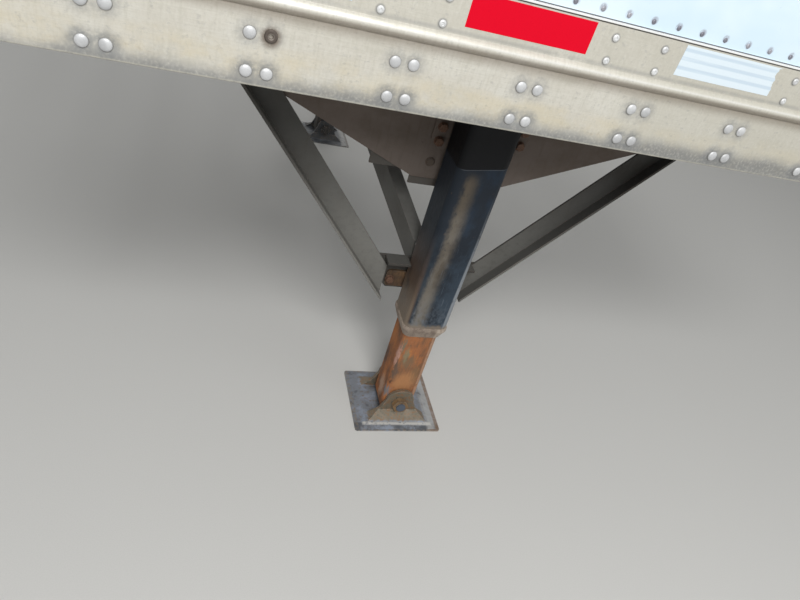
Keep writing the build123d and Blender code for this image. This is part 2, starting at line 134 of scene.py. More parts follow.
def rivetReach(finish, grid):
    # distance in x and z to the nearest rivet of a repeated grid
    half, across, reach = grid["pitch"] / 2, "x", None
    for operation, others in (
        ("SUBTRACT", {1: grid["start"]}),
        ("WRAP", {1: half, 2: -half}),
        ("ABSOLUTE", {}),
        ("SUBTRACT", {1: grid["half"]}),
    ):
        across = put(finish, "Math", operation, {0: across, **others})
    for row in grid["rows"]:
        down = put(finish, "Math", "SUBTRACT", {0: "z", 1: row})
        flat = put(finish, "CombineXYZ", {}, {0: across, 1: down})
        far = put(finish, "VectorMath", "LENGTH", {0: flat}).outputs[1]
        reach = put(finish, "Math", "MINIMUM", {0: reach, 1: far}) if reach else far
    return reach


def edgeWear(finish, radius):
    # 1 along sharp edges, from how far a rounded normal leans away from the true one
    rounded = put(finish, "Bevel", {"samples": 4}, {"Radius": radius * mm})
    true = put(finish, "NewGeometry").outputs["Normal"]
    finish["lean"] = put(finish, "VectorMath", "DOT_PRODUCT", {0: rounded, 1: true}).outputs[1]
    return mask(finish, ("lean", 0.96, 0.86), ("mottle", 0.4, 0.55))


def facingUp(finish):
    normal = put(finish, "NewGeometry").outputs["Normal"]
    return put(finish, "SeparateXYZ", {}, {0: normal}).outputs[2]


def foldLeg(finish):
    # sets x to start from the leg's middle, out to how far out a place lies on either side, and
    # corner to how near it is to a corner of the tube: both distances from the leg's middle, added
    moved = put(finish, "VectorMath", "SUBTRACT", {0: "place", 1: (legMiddle.x, 0.0, 0.0)})
    folded = put(finish, "VectorMath", "ABSOLUTE", {0: moved})
    finish["x"] = put(finish, "SeparateXYZ", {}, {0: moved}).outputs[0]
    across, finish["out"], _ = put(finish, "SeparateXYZ", {}, {0: folded}).outputs
    deep = put(finish, "Math", "SUBTRACT", {0: "out", 1: abs(legMiddle.y)})
    deep = put(finish, "Math", "ABSOLUTE", {0: deep})
    finish["corner"] = put(finish, "Math", "ADD", {0: across, 1: deep})


def endFinish(finish, ground, layers, bumps, rough, softEdge=1.0, **sockets):
    # each layer is a tint, laid over what is below it as far as the mask of its parts goes; bumps
    # gives each pattern's depth; rough is a roughness and how patterns shift it; softEdge rounds
    # the shading of sharp edges
    look = finish["look"]
    base = colour(look.get(ground, ground))
    for tint, *parts in layers:
        inputs = {0: mask(finish, *parts), 6: base, 7: colour(look.get(tint, tint))}
        base = put(finish, "Mix", {"data_type": "RGBA"}, inputs).outputs[2]
    normal = put(finish, "Bevel", {"samples": 4}, {"Radius": softEdge * mm})
    for word, depth in bumps.items():
        inputs = {"Height": word, "Distance": depth * mm, "Normal": normal}
        normal = put(finish, "Bump", {}, inputs)
    inputs = {"Base Color": base, "Normal": normal, "Roughness": shifted(finish, *rough)}
    inputs.update({name.replace("_", " "): value for name, value in sockets.items()})
    put(finish, "OutputMaterial", {}, {"Surface": put(finish, "BsdfPrincipled", {}, inputs)})
    return finish["material"]


# rivets come in pairs, so far to each side of a place that repeats
rivetGrid = {"pitch": 228.6, "start": 0.0, "half": 15.85, "rows": (-22.1, -79.8)}
postGrid = {"pitch": 406.4, "start": 171.0, "half": 51.0, "rows": (49.2, 87.7)}
lipGrid = {"pitch": 51.4, "start": 26.0, "half": 0.0, "rows": (125.2,)}
lostRivetAt = Vector((-441.35, -1295.0, -22.1))

railLook = {
    "metal": "#d0ccc1",
    "pale": "#dad8cf",
    "dull": "#bdbaad",
    "stain": "#d3c9b0",
    "ochre": "#c7b486",
    "grime": "#8f9090",
    "blue": "#7c8084",
    "slate": "#67696b",
    # dark: painted shade in the lip's groove
    "dark": "#55534f",
    # brown: rust round the lost rivet, and painted shade under the bead
    "brown": "#6d5c4c",
    # lip: painted highlight on the lip and on the bead's upper back
    "lip": "#f0f1f1",
    "patterns": {
        "cloud": (110, 110, 60, 5, 0),
        "patches": (60, 60, 42, 4, 11),
        "mottle": (11, 11, 7, 6, 5),
        "dieLines": (90, 1.7, 1.7, 3, 7),
        "runs": (5, 400, 55, 4, 3),
        "specks": (4.5, 4.5, 5.5, 7, 15),
        "swell": (170, 170, 400, 3, 21),
    },
}


def millFinishAluminium():
    # extruded aluminium left bare for years: dull warm grey drawn into fine lines along its
    # length, yellowed low down, with blue-grey grime along its foot and round its rivets, and
    # painted shade and painted highlights at its bead, its lip and its foot's edge
    rail = startFinish("weatheredMillFinishAluminium", railLook)
    rail["reach"] = rivetReach(rail, rivetGrid)
    rail["postReach"] = rivetReach(rail, postGrid)
    inputs = {0: "place", 1: lostRivetAt - Vector((0, 0, 2))}
    rail["spot"] = put(rail, "VectorMath", "DISTANCE", inputs).outputs[1]
    rail["even"] = mask(rail, ("mottle", 0.2, 0.8))
    # the yellow band low down, broken up along its length
    rail["level"] = shifted(rail, "z", ("cloud", 50))
    rail["yellow"] = mask(rail, ("level", -92, -44, 14), ("patches", 0.3, 0.62))
    # grime climbs from the foot, higher in some places, and pools between the lower rivets
    rail["front"] = mask(rail, ("x", 120, 300))
    rail["climb"] = shifted(rail, "z", ("swell", -40), ("front", -15, 0), ("mottle", 9))
    rail["pool"] = mask(rail, ("reach", 30, 8), ("mottle", 0.15, 0.6))
    layers = [
        ("pale", ("cloud", 0.46, 0.66), 0.5),
        ("dull", ("cloud", 0.46, 0.3), 0.45),
        ("dull", ("dieLines", 0.5, 0.68), 0.3),
        ("pale", ("dieLines", 0.46, 0.3), 0.3),
        ("dull", ("runs", 0.5, 0.66), 0.3),
        ("pale", ("runs", 0.46, 0.34), 0.22),
        ("stain", "yellow", 0.6),
        ("dull", ("z", 34, 46), 0.28),
        ("dull", "front", 0.45),
        ("ochre", "yellow", ("mottle", 0.5, 0.68), ("z", -56, -82), 0.28),
        ("dull", ("specks", 0.5, 0.64), 0.28),
        ("pale", ("specks", 0.46, 0.34), 0.25),
        ("grime", ("mottle", 0.57, 0.7), 0.26),
        ("grime", "pool", ("specks", 0, 0.6), 0.55),
        ("blue", "pool", ("z", -50, -70), ("specks", 0, 0.6), 0.55),
        ("grime", ("climb", -72, -97), ("specks", -0.1, 0.6), 0.62),
        ("slate", ("climb", -86, -103), ("specks", 0.1, 0.6), 0.5),
        # a paler line along the foot's edge: a painted highlight
        ("dull", ("z", -98, -100.5), ("mottle", 0.25, 0.55), 0.7),
        # painted shade under the bead, a painted highlight on its upper back, a darker band above
        # it, and dirt with painted shade round the post rivets
        ("brown", ("z", -8, 14), ("z", 26.5, 20), 0.55),
        ("lip", ("z", 28, 30.5, 2.5), 0.45),
        ("grime", ("z", 39, 45, 3), ("patches", 0.3, 0.5), 0.4),
        ("grime", ("postReach", 10, 6.5), 0.6),
        ("brown", ("spot", 21, 9), ("mottle", 0.2, 0.55), 0.75),
        # the lip with a painted highlight, and its groove as a line of painted shade
        ("lip", ("z", 108.6, 109.2)),
        ("dark", ("z", 106.6, 108.6, 0.3)),
    ]
    bumps, rough = {"dieLines": 0.1, "mottle": 0.2}, (0.4, ("even", 0.2, 0))
    return endFinish(rail, "metal", layers, bumps, rough, 1.2, Metallic=0.3)


wallLook = {
    "paint": "#e0eff8",
    "shade": "#d2e6f3",
    "seam": "#4d4e52",
    "smudge": "#8f8f9c",
    "grime": "#8f918f",
    "patterns": {
        "cloud": (240, 240, 160, 3, 0),
        "specks": (5, 5, 9, 4, 2),
        "mottle": (4, 4, 4, 5, 3),
    },
}


def coilCoatedSheet():
    # white coil-coated sheet: smooth and a little glossy, with dirt held above each rivet and
    # a thin black seam where it goes in behind the rail
    wall = startFinish("whiteCoilCoatedSheet", wallLook)
    wall["reach"] = rivetReach(wall, dict(lipGrid, rows=(127.0,)))
    wall["out"] = put(wall, "Math", "ABSOLUTE", {0: "y"})
    wall["outside"] = mask(wall, ("out", 1289.4, 1289.8))
    layers = [
        ("shade", ("cloud", 0.4, 0.7)),
        ("grime", ("specks", 0.66, 0.74), 0.25),
        ("smudge", ("reach", 8.5, 4), ("mottle", 0.3, 0.55), "outside", 0.7),
        ("seam", ("z", 114, 113.4), "outside"),
    ]
    coat = {"Coat_Weight": 0.15, "Coat_Roughness": 0.2}
    return endFinish(wall, "paint", layers, {"cloud": 0.8}, (0.34,), 0.6, **coat)


galvanisedLook = {
    "zinc": "#a9adaf",
    "pale": "#bcc0c1",
    "dark": "#969a9c",
    "dust": "#8d8578",
    "spangle": 14.0,
    "patterns": {"settled": (70, 70, 40, 5, 0)},
}


def galvanisedSheet():
    # hot-dip galvanised sheet: zinc crystals a centimetre or so wide, each a slightly other grey
    post = startFinish("hotDipGalvanisedSheet", galvanisedLook)
    inputs = {"Vector": "place", "Scale": 1 / galvanisedLook["spangle"]}
    crystals = put(post, "TexVoronoi", {}, inputs).outputs["Color"]
    post["tone"] = put(post, "SeparateColor", {}, {0: crystals}).outputs[0]
    layers = [
        ("pale", ("tone", 0.5, 1)),
        ("dark", ("tone", 0.4, 0)),
        ("dust", ("settled", 0.5, 0.75), 0.5),
    ]
    return endFinish(post, "zinc", layers, {}, (0.34, ("tone", 0.2, 0)), 0.8, Metallic=0.4)


chassisLook = {
    "dust": "#7e7d78",
    "rust": "#6b4128",
    "bare": "#8f8f8b",
    "black": "#262524",
    "patterns": {
        "cloud": (150, 150, 120, 5, 0),
        "mottle": (14, 14, 11, 7, 4),
        "runs": (12, 12, 90, 4, 8),
        "grit": (1.6, 1.6, 1.6, 3, 1),
    },
}
# paint, its stain, the levels between which road dust thickens to so much, and how much of which
# tint lies on ledges: dust, but on the front brace black, painted shade
chassisCoats = {
    "frame": ("#4a4743", "#4b4039", -120, -720, 0.6, 0.4, "dust"),
    "bolt": ("#554a41", "#3c332c", -120, -700, 0.2, 0.4, "dust"),
    "wing": ("#6a5f58", "#54493f", -120, -700, 0.3, 0.4, "dust"),
    # inboard: less dust and a darker stain, painted shade where the leg shades it
    "inboard": ("#504f4c", "#3b3733", -230, -700, 0.45, 0.3, "dust"),
    "brace": ("#4d4c49", "#433e39", -230, -620, 0.8, 0.4, "dust"),
    # front: its ledges take black, painted shade on the faces that look up
    "front": ("#3f3e3c", "#35322e", -230, -700, 0.55, 0.65, "black"),
    "bracket": ("#34322f", "#2c2926", -500, -800, 0.4, 0.2, "dust"),
    "shade": ("#2a2928", "#322d29", -120, -800, 0.2, 0.1, "dust"),
    "gearbox": ("#26282b", "#3a332d", -120, -700, 0.3, 0.5, "dust"),
}


def dustyChassisPaint(name, coat):
    # brushed chassis paint on mill-scale steel: a flat dark grey under road dust that thickens
    # towards the ground, brown water marks, and rust where the edges are chipped
    paint, stain, dustFrom, dustTo, dustMost, ledgeDustAndShadeMost, ledgeDustAndShadeTint = chassisCoats[coat]
    steel = startFinish(name, chassisLook)
    steel["height"] = shifted(steel, "z", ("cloud", 90, 0))
    steel["up"] = facingUp(steel)
    steel["broken"] = mask(steel, ("mottle", -0.2, 0.6))
    steel["worn"] = edgeWear(steel, 2.2)
    layers = [
        (stain, ("cloud", 0.42, 0.68), 0.6),
        (stain, ("runs", 0.5, 0.72), 0.35),
        ("dust", ("height", dustFrom, dustTo), "broken", dustMost),
        # faces that look up take dust, but on the front brace black, which is painted shade
        (ledgeDustAndShadeTint, ("up", 0.3, 0.9), "broken", ledgeDustAndShadeMost),
        ("dust", ("grit", 0.6, 0.72), 0.15),
        ("black", ("mottle", 0.68, 0.76), 0.4),
        ("rust", "worn", 0.4),
        ("bare", "worn", ("grit", 0.5, 0.6), 0.6),
    ]
    bumps, rough = {"mottle": 0.3, "grit": 0.1}, (0.55, ("mottle", 0.3, 0))
    return endFinish(steel, paint, layers, bumps, rough, Specular_IOR_Level=0.3)


legLook = {
    "enamel": "#20262e",
    "navy": "#243140",
    # black: painted shade on the leg's upper part, under the rail
    "black": "#0d0e11",
    "pale": "#3b454e",
    "scuff": "#6f7882",
    # line: wear and a painted highlight on the front corner, and the thin line below the painted
    # shade
    "line": "#8f9499",
    "earth": "#645a4c",
    "clay": "#77726a",
    "rust": "#6c543f",
    "dirt": "#827668",
    "smear": (-46, -25, 9),  # x where it starts, is thickest and ends
    "secondCoatEnds": -289.5,
    "secondCoatLean": -0.153,
    "patterns": {
        "cloud": (60, 60, 90, 5, 0),
        "mottle": (11, 11, 16, 7, 4),
        "scratches": (2, 2, 60, 3, 9),
    },
}


def wornBlackEnamel():
    # sprayed black enamel on a square tube: near-black above a leaning line, which is painted
    # shade under the rail, with a thin pale line below it; dark navy below with a long smear of
    # dried grease down the outer face, scuffs near the foot, and a rubbed front corner with a
    # painted highlight along it
    leg = startFinish("wornBlackEnamel", legLook)
    foldLeg(leg)
    leg["face"] = mask(leg, ("out", 1050, 1056))
    leg["lowDown"] = mask(leg, ("z", -330, -700))
    # the smear has ragged edges and bends rearward low down
    start, thickest, end = legLook["smear"]
    leg["bend"] = mask(leg, ("z", -520, -680))
    leg["ragged"] = shifted(leg, "x", ("bend", 9, 0), ("mottle", 20))
    across = (("ragged", start, thickest), ("ragged", end, thickest))
    leg["smear"] = mask(leg, *across, ("z", -296, -330), "face", ("mottle", 0.1, 0.5))
    # the painted shade's lower edge leans, and the front corner is rubbed, with a painted
    # highlight, over a width that grows downward
    leg["split"] = shifted(leg, "z", ("x", legLook["secondCoatLean"], 0))
    split = legLook["secondCoatEnds"]
    leg["rub"] = mask(leg, ("z", -480, -740))
    leg["edge"] = shifted(leg, "corner", ("rub", 3.5, 0))
    leg["foot"] = shifted(leg, "z", ("mottle", 26, 0))
    layers = [
        ("navy", ("cloud", 0.4, 0.65), ("x", -30, 20)),
        ("pale", "lowDown", ("cloud", 0.35, 0.6), 0.6),
        ("earth", "smear", 0.7),
        ("clay", "smear", ("z", -380, -460), ("cloud", 0.3, 0.6), 0.6),
        ("clay", "smear", ("z", -620, -720), 0.6),
        ("rust", ("x", -52, -61), ("z", -450, -730), ("cloud", 0.25, 0.5), 0.75),
        ("dirt", ("x", -55, -61), ("z", -640, -740), 0.7),
        ("scuff", ("scratches", 0.62, 0.7), "lowDown", 0.4),
        ("rust", ("mottle", 0.66, 0.72), 0.3),
        # the pale line on the front corner is wear and a painted highlight
        ("line", ("edge", 110, 113), ("mottle", 0.2, 0.5), ("x", 20, 30), ("z", -330, -640), 0.8),
        ("scuff", "face", ("z", -660, -765), ("mottle", 0.36, 0.66), 0.4),
        # near-black above the leaning line is painted shade under the rail; a thin pale line lies
        # below it
        ("black", ("split", split - 0.6, split + 0.6)),
        ("line", ("split", split - 2.2, split - 0.6, 0.5), "face", 0.2),
        ("dirt", ("foot", -752, -766), 0.8),
    ]
    bumps = {"mottle": 0.3, "scratches": 0.06}
    rough = (0.36, ("mottle", 0.25, 0), ("smear", 0.25, 0))
    return endFinish(leg, "enamel", layers, bumps, rough, Specular_IOR_Level=0.18)


rustLook = {
    "rust": "#98623f",
    "orange": "#b87740",
    "deep": "#6a503d",
    "dry": "#b08d74",
    "steel": "#525964",
    "patterns": {
        "cloud": (38, 38, 70, 5, 0),
        "mottle": (8, 8, 14, 7, 4),
        "runs": (5, 5, 80, 4, 6),
        "grain": (1.5, 1.5, 1.5, 3, 2),
    },
}
# patches on the inner leg: x from the leg's middle, how far out, z, half width, half height, tint
slideMarks = [
    (-50.8, 968, -872, 26, 30, "#ab6f42"),
    (-50.8, 966, -965, 14, 42, "#54433a"),
    (-12, 1045, -925, 24, 26, "#75604a"),
    (20, 1045, -975, 16, 40, "#7d6146"),
    (-50, 1038, -905, 9, 42, "#b78f80"),
    (-43, 1045, -862, 8, 22, "#6c6b5b"),
    (-24, 1045, -900, 8, 30, "#7d7860"),
    (-42, 1045, -960, 10, 40, "#5d5046"),
    (-45, 1044, -1004, 7, 12, "#3a2c28"),
    (-50, 1002, -1062, 20, 40, "#bd9c85"),
    (-49, 1042, -1050, 15, 24, "#6f767b"),
    (-5, 1045, -1010, 34, 46, "#aa7a52"),
]
axleEnd = 1077.0  # further out than this an axle shows its steel end
# darker tints for the far leg and axle: painted shade, with little rust
farShadeTint = {"rust": "#3b3937", "orange": "#5d4c3e", "deep": "#262626", "dry": "#8f8c87"}
rustTints = {
    "lug": {"rust": "#604a35", "orange": "#7c5f40", "deep": "#3f332a", "dry": "#7c7164"},
    "axle": {"rust": "#7f6446", "orange": "#93744f", "deep": "#57493b", "dry": "#958a7a"},
    "collar": {"rust": "#93867a", "orange": "#9c8d7e", "deep": "#6d5f55", "dry": "#b3a698"},
    "oiled": dict(farShadeTint, steel="#2d2f33"),
}


def rustedSteel(name, tint, marks=(), bareFrom=2000.0):
    # bare steel that has rusted where it stands out in the wet: an orange bloom over darker
    # scale, corners rubbed pale, and a few patches of grey metal and dried grease; further out
    # than bareFrom it is blue-grey steel, as on an axle's end
    tube = startFinish(name, dict(rustLook, **tint))
    foldLeg(tube)
    rubbed = mask(tube, ("corner", 85, 89), ("x", 30, 36), ("mottle", 0.3, 0.5))
    inputs = {0: edgeWear(tube, 4.0), 1: rubbed}
    tube["worn"] = put(tube, "Math", "MAXIMUM", inputs)
    layers = [
        ("deep", ("cloud", 0.44, 0.62), 0.8),
        ("orange", ("cloud", 0.46, 0.3), 0.8),
        ("orange", ("runs", 0.54, 0.7), 0.5),
        ("deep", ("mottle", 0.56, 0.7), 0.6),
        ("dry", ("grain", 0.56, 0.68), 0.2),
        ("dry", "worn", 0.75),
    ]
    ragged = [shifted(tube, word, ("mottle", 26)) for word in ("x", "out")]
    ragged.append(shifted(tube, "z", ("runs", 90)))
    moved = put(tube, "CombineXYZ", {}, dict(enumerate(ragged)))
    for markX, markOut, markZ, halfWide, halfHigh, shade in marks:
        aside = put(tube, "VectorMath", "SUBTRACT", {0: moved, 1: (markX, markOut, markZ)})
        aside = put(tube, "VectorMath", "DIVIDE", {0: aside, 1: (halfWide, halfWide, halfHigh)})
        tube[shade] = put(tube, "VectorMath", "LENGTH", {0: aside}).outputs[1]
        layers.append((shade, (shade, 1.35, 0.45), 0.85))
    layers.append(("steel", ("out", bareFrom, bareFrom + 0.8)))
    bumps, rough = {"mottle": 0.45, "grain": 0.12}, (0.62, ("mottle", 0.25, 0))
    return endFinish(tube, "rust", layers, bumps, rough, Specular_IOR_Level=0.3)


shoeLook = {
    "steel": "#7f838a",
    "blue": "#939cab",
    "dark": "#4c4f54",
    "rust": "#806044",
    "olive": "#6e6553",
    "shade": "#4b463b",
    "earth": "#8a7d6c",
    # worn edges and specks, and painted highlights along the creases
    "bright": "#c9c7c2",
    "patterns": {
        "cloud": (40, 40, 40, 5, 0),
        "mottle": (9, 9, 9, 7, 4),
        "grain": (1.5, 1.5, 1.5, 3, 2),
    },
}
# darker tints for the far shoe: painted shade
farShadeShoeTint = {
    "steel": "#505357",
    "blue": "#686c72",
    "dark": "#3a3c3f",
    "rust": "#4c443c",
    "olive": "#34373b",
    "shade": "#26282b",
    "earth": "#5f5c57",
    "bright": "#b9b7b3",
}


def pressedShoeSteel(name, tint):
    # pressed steel plate worn by the ground: blue-grey scale where it is trodden, earth and rust
    # on its ears and rim, edges worn bright, and painted highlights along the creases of its
    # slopes
    shoe = startFinish(name, dict(shoeLook, **tint))
    foldLeg(shoe)
    shoe["up"] = facingUp(shoe)
    shoe["high"] = shifted(shoe, 0.0, ("z", 1, floorLevel / mm))
    shoe["ragged"] = shifted(shoe, "high", ("mottle", 8))
    shoe["ears"] = mask(shoe, ("ragged", 9.5, 15))
    shoe["worn"] = edgeWear(shoe, 2.5)
    layers = [
        ("blue", ("cloud", 0.5, 0.66), 0.8),
        ("dark", ("cloud", 0.46, 0.34), 0.7),
        ("rust", ("mottle", 0.56, 0.68), 0.35),
        # the outer slope, darker, with a painted highlight along its crease; a painted highlight
        # along the crease at the sides; and the rim
        ("dark", ("out", 1086, 1092), ("high", 11, 9.5), ("cloud", 0.6, 0.45), 0.7),
        ("bright", ("out", 1086, 1090), ("high", 7.4, 9.8, 0.8), ("mottle", 0.3, 0.5), 0.9),
        ("bright", ("x", 88, 98), ("high", 11, 9.5), ("cloud", 0.25, 0.55), 0.5),
        ("earth", ("high", 4.6, 3.8), ("mottle", 0.4, 0.6), 0.7),
        ("rust", ("high", 4.6, 3.8), ("x", 90, 110), 0.6),
        ("olive", "ears", 0.92),
        ("rust", "ears", ("mottle", 0.47, 0.62), 0.75),
        ("shade", "ears", ("mottle", 0.46, 0.34), 0.6),
        ("earth", "ears", ("up", 0.25, 0.6), ("cloud", 0.45, 0.65), 0.4),
        ("bright", ("grain", 0.6, 0.7), 0.12),
        ("bright", "worn", 0.5),
    ]
    bumps, rough = {"mottle": 0.3, "grain": 0.08}, (0.42, ("mottle", 0.3, 0))
    return endFinish(shoe, "steel", layers, bumps, rough, Metallic=0.25)


shaftLook = {
    "steel": "#5c5a56",
    "grease": "#2b2926",
    "rust": "#74482b",
    "bare": "#97958f",
    "patterns": {"cloud": (50, 90, 50, 5, 0), "mottle": (6, 10, 6, 7, 4)},
}


def greasyShaftSteel():
    # drawn steel bar, oiled and then rusted: dark grease with rust through it and rubbed patches
    shaft = startFinish("greasyDrawnSteel", shaftLook)
    shaft["worn"] = edgeWear(shaft, 1.5)
    layers = [
        ("grease", ("cloud", 0.42, 0.6)),
        ("rust", ("mottle", 0.52, 0.66), 0.75),
        ("bare", ("cloud", 0.4, 0.3), 0.7),
        ("bare", "worn"),
    ]
    rough = (0.3, ("mottle", 0.35, 0))
    return endFinish(shaft, "steel", layers, {"mottle": 0.25}, rough, 0.8, Metallic=0.55)


rivetLook = {
    "head": "#cccdce",
    "dull": "#a3a4a5",
    # grime: dirt and painted shade round the foot of each head
    "grime": "#75746f",
    "patterns": {"blotch": (6, 6, 6, 6, 2), "each": (30, 400, 40, 1, 6)},
}
rivetTints = {
    "cross": {},
    "post": {"head": "#dcdddd"},
    "lip": {"head": "#a6a6ad", "dull": "#7f7f88", "grime": "#55555b"},
    "broken": {"head": "#938c85", "dull": "#6f655d", "grime": "#453b34"},
}


def drivenRivet(name, tint, grid, radius, dullness):
    # domed aluminium rivet driven cold: paler than the rail, each a little more or less dull,
    # with dirt and painted shade round the foot of its head
    rivet = startFinish(name, dict(rivetLook, **rivetTints[tint]))
    rivet["reach"] = rivetReach(rivet, grid)
    layers = [
        ("dull", ("each", 0.4, 0.6), dullness),
        ("dull", ("blotch", 0.5, 0.7), 0.3),
        # dirt and painted shade round the foot of the head
        ("grime", ("reach", radius * 0.84, radius), 0.75),
    ]
    rough = (0.36, ("blotch", 0.25, 0))
    return endFinish(rivet, "head", layers, {"blotch": 0.15}, rough, 0.4, Metallic=0.3)


fastenerLook = {
    "zinc": "#5b554e",
    "rust": "#664a39",
    "deep": "#3a2b23",
    "dust": "#77706a",
    "patterns": {"cloud": (18, 18, 18, 4, 0), "mottle": (3, 3, 3, 6, 4)},
}


def rustyFastener(name, rusted):
    # zinc-plated bolt whose plating has gone: red-brown rust with a little dull zinc left
    bolt = startFinish(name, fastenerLook)
    bolt["worn"] = edgeWear(bolt, 1.0)
    layers = [
        ("rust", ("cloud", 0.75 - rusted, 0.95 - rusted)),
        ("deep", ("mottle", 0.5, 0.62), 0.7),
        ("dust", ("mottle", 0.42, 0.34), 0.4),
        ("dust", "worn", 0.4),
    ]
    rough = (0.55, ("mottle", 0.3, 0))
    return endFinish(bolt, "zinc", layers, {"mottle": 0.3}, rough, 0.6, Metallic=0.2)


tapeLook = {
    "red": "#de0024",
    "redDeep": "#b3001c",
    "silver": "#dde9f0",
    "silverDeep": "#c8d8e4",
    "cell": 3.2,
    "patterns": {"cloud": (120, 120, 5, 3, 3)},
}
silverBands = ((63, 69), (79, 85), (94, 99.5))  # levels of the darker stripes


def prismaticTape(name, ground, deep, bands=()):
    # prismatic safety tape: saturated film over tiny cube corners; the real cells are about
    # 0.2 mm, drawn 3 mm wide so that they show
    tape = startFinish(name, tapeLook)
    inputs = {"Vector": "place", "Scale": 1 / tapeLook["cell"]}
    tape["cells"] = put(tape, "TexVoronoi", {"feature": "DISTANCE_TO_EDGE"}, inputs)
    layers = [(deep, ("cells", 0.12, 0), 0.1)]
    layers += [(deep, ("z", low, high, 1.4), ("cloud", 0.15, 0.5)) for low, high in bands]
    sockets = {"Specular_IOR_Level": 0.12, "Coat_Weight": 0.06, "Coat_Roughness": 0.15}
    return endFinish(tape, ground, layers, {"cells": 0.03}, (0.5,), 0.3, **sockets)


weldLook = {
    "bead": "#4a443e",
    "rust": "#6b4a36",
    "dust": "#7f7a70",
    "patterns": {"mottle": (5, 5, 5, 6, 4)},
}


def paintedWeld():
    # weld bead painted over with the frame: rippled, dusty and rusting between the ripples
    weld = startFinish("paintedWeldBead", weldLook)
    layers = [("rust", ("mottle", 0.48, 0.62), 0.7), ("dust", ("mottle", 0.44, 0.34), 0.6)]
    return endFinish(weld, "bead", layers, {"mottle": 0.3}, (0.62,), 0.4)


outerLeg = boxOf("near_outer_leg")
legMiddle = (outerLeg[0] + outerLeg[1]) / 2
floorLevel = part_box("near_sand_shoe")[0].z
finishes = {
    "rail_aluminium": millFinishAluminium(),
    "wall_white": coilCoatedSheet(),
    "post_galvanised": galvanisedSheet(),
    "frame_steel": dustyChassisPaint("dustyChassisPaint", "frame"),
    "leg_enamel": wornBlackEnamel(),
    "rusty_steel": rustedSteel("rustedSlideTube", {}, slideMarks),
    "shoe_steel": pressedShoeSteel("groundWornPressedSteel", {}),
    "shaft_steel": greasyShaftSteel(),
}
wingPaint = dustyChassisPaint("dustyWingPaint", "wing")
collarRust = rustedSteel("dustyScaleCollar", rustTints["collar"])
# nodes that wear their slot's finish in another state, on both sides alike
finishOfKind = {
    "wing_plate": wingPaint,
    "leg_flange": wingPaint,
    "leg_collar": collarRust,
    "rear_brace": dustyChassisPaint("roadDustedBracePaint", "brace"),
    # the front brace's upward faces carry painted shade
    "front_brace": dustyChassisPaint("cleanerBracePaint", "front"),
    "brace_bracket": dustyChassisPaint("darkBracketPaint", "bracket"),
    # the inboard brace is darker: painted shade where the leg shades it
    "inboard_brace": dustyChassisPaint("shelteredBracePaint", "inboard"),
    "leg_lug": rustedSteel("darkRustedLug", rustTints["lug"]),
    "foot_axle": rustedSteel("earthyAxleSteel", rustTints["axle"], (), axleEnd),
}
finishOf = {side + "_" + kind: kept for side in sides for kind, kept in finishOfKind.items()}
# the far leg, axle and shoe wear darker copies of their finishes, which is painted shade, and have
# hardly rusted
finishOf["far_inner_leg"] = rustedSteel("oiledSlideTube", rustTints["oiled"])
finishOf["far_foot_axle"] = rustedSteel("oiledAxleSteel", rustTints["oiled"], (), axleEnd)
finishOf["far_sand_shoe"] = pressedShoeSteel("oiledPressedSteel", farShadeShoeTint)
finishOf["centre_gusset"] = dustyChassisPaint("shadedGussetPaint", "shade")
finishOf["gearbox"] = dustyChassisPaint("greasyGearboxPaint", "gearbox")
plateBoltPaint = dustyChassisPaint("paintedBoltRust", "bolt")
crossRivet = drivenRivet("drivenAluminiumRivet", "cross", rivetGrid, 10.3, 0.4)
postRivet = drivenRivet("blindPostRivet", "post", postGrid, 6.6, 0.3)
lipRivet = drivenRivet("blindLipRivet", "lip", lipGrid, 5.0, 1.0)
brokenRivet = drivenRivet("rustedBrokenRivet", "broken", rivetGrid, 5.5, 0.6)
boltFinish = rustyFastener("rustedZincBolt", 0.5)
boltRusted = rustyFastener("deeplyRustedBolt", 0.75)
weldFinish = paintedWeld()
redTape = prismaticTape("redPrismaticTape", "red", "redDeep")
silverTape = prismaticTape("silverPrismaticTape", "silver", "silverDeep", silverBands)
slotOf = {row["node"]: row["material_slot"] for row in frame["record"]["subparts"]}
for name, node in nodes.items():
    node.data.materials.clear()
    node.data.materials.append(finishOf.get(name, finishes[slotOf[name]]))
print("finishes:", len(bpy.data.materials))


# Shapes for the small pieces. A shape is (points, faces) in millimetres, standing on z = 0.
asItIs = Matrix.Identity(4)


def sideFaces(rings, steps):
    # the faces between rings of points, each ring with that many steps
    faces = []
    for first in range(0, (rings - 1) * steps, steps):
        for step in range(steps):
            here, after = first + step, first + (step + 1) % steps
            faces.append((here, after, after + steps, here + steps))
    return faces


def turned(profile, steps, hollow=False):
    # profile is (radius, height) from the foot up; a hollow one is left open at both ends
    points, faces = [], sideFaces(len(profile), steps)
    for radius, height in profile:
        for step in range(steps):
            angle = 2 * math.pi * (step + 0.5) / steps
            points.append((radius * math.cos(angle), radius * math.sin(angle), height))
    if not hollow:
        top = (len(profile) - 1) * steps
        faces.append(tuple(range(top, top + steps)))
        faces.append(tuple(reversed(range(steps))))
    return points, faces


def slab(outline, height):
    # a flat plate from its outline in x and y
    count = len(outline)
    points = [(x, y, 0.0) for x, y in outline] + [(x, y, height) for x, y in outline]
    faces = [tuple(reversed(range(count))), tuple(range(count, 2 * count))]
    faces += [(i, (i + 1) % count, count + (i + 1) % count, count + i) for i in range(count)]
    return points, faces


